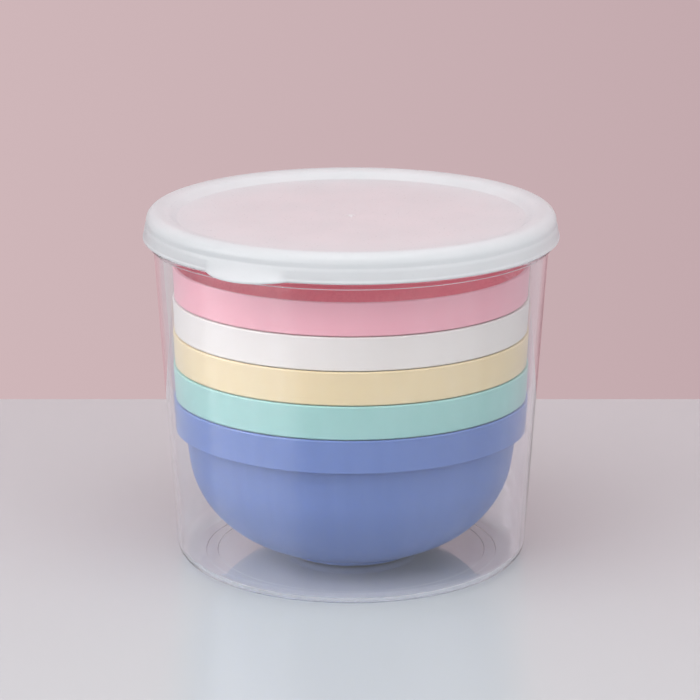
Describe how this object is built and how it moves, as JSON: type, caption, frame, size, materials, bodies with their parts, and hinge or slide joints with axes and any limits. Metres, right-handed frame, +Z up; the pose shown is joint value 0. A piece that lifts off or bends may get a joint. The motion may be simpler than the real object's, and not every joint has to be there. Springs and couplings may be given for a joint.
{
  "type": "nested hair colour mixing bowls in a lidded tub",
  "caption": "Identical round mixing bowls with stepped collars, nested in a clear tapered tub that closes with a push-on lid and pull tab.",
  "frame": {"origin": "on the common axis of the tub, bowls and lid, on the surface that the tub's foot stands on", "axes": "+Z up along the common axis; the lid's pull tab is in the -X -Y quarter, to the front left"},
  "size_m": [0.1462, 0.1462, 0.1264],
  "materials": {
    "clear_tub": "clear, polished, injection-moulded",
    "lid_plastic": "milky, softly glossy, injection-moulded",
    "blue_plastic": "satin, injection-moulded",
    "mint_plastic": "satin, injection-moulded",
    "yellow_plastic": "satin, injection-moulded",
    "white_plastic": "satin, injection-moulded",
    "pink_plastic": "satin, injection-moulded"
  },
  "bodies": {
    "tub": {"tub": "clear_tub"},
    "blue_bowl": {"blue_bowl": "blue_plastic"},
    "mint_bowl": {"mint_bowl": "mint_plastic"},
    "yellow_bowl": {"yellow_bowl": "yellow_plastic"},
    "white_bowl": {"white_bowl": "white_plastic"},
    "pink_bowl": {"pink_bowl": "pink_plastic"},
    "lid": {"lid": "lid_plastic"}
  },
  "joints": [
    {"name": "blue_bowl_lift", "type": "slide", "parent": "tub", "child": "blue_bowl", "axis": [0, 0, 1], "range_m": [0, 0.13]},
    {"name": "mint_bowl_lift", "type": "slide", "parent": "blue_bowl", "child": "mint_bowl", "axis": [0, 0, 1], "range_m": [0, 0.06]},
    {"name": "yellow_bowl_lift", "type": "slide", "parent": "mint_bowl", "child": "yellow_bowl", "axis": [0, 0, 1], "range_m": [0, 0.06]},
    {"name": "white_bowl_lift", "type": "slide", "parent": "yellow_bowl", "child": "white_bowl", "axis": [0, 0, 1], "range_m": [0, 0.06]},
    {"name": "pink_bowl_lift", "type": "slide", "parent": "white_bowl", "child": "pink_bowl", "axis": [0, 0, 1], "range_m": [0, 0.06]},
    {"name": "lid_lift", "type": "slide", "parent": "pink_bowl", "child": "lid", "axis": [0, 0, 1], "range_m": [0, 0.06]}
  ]
}
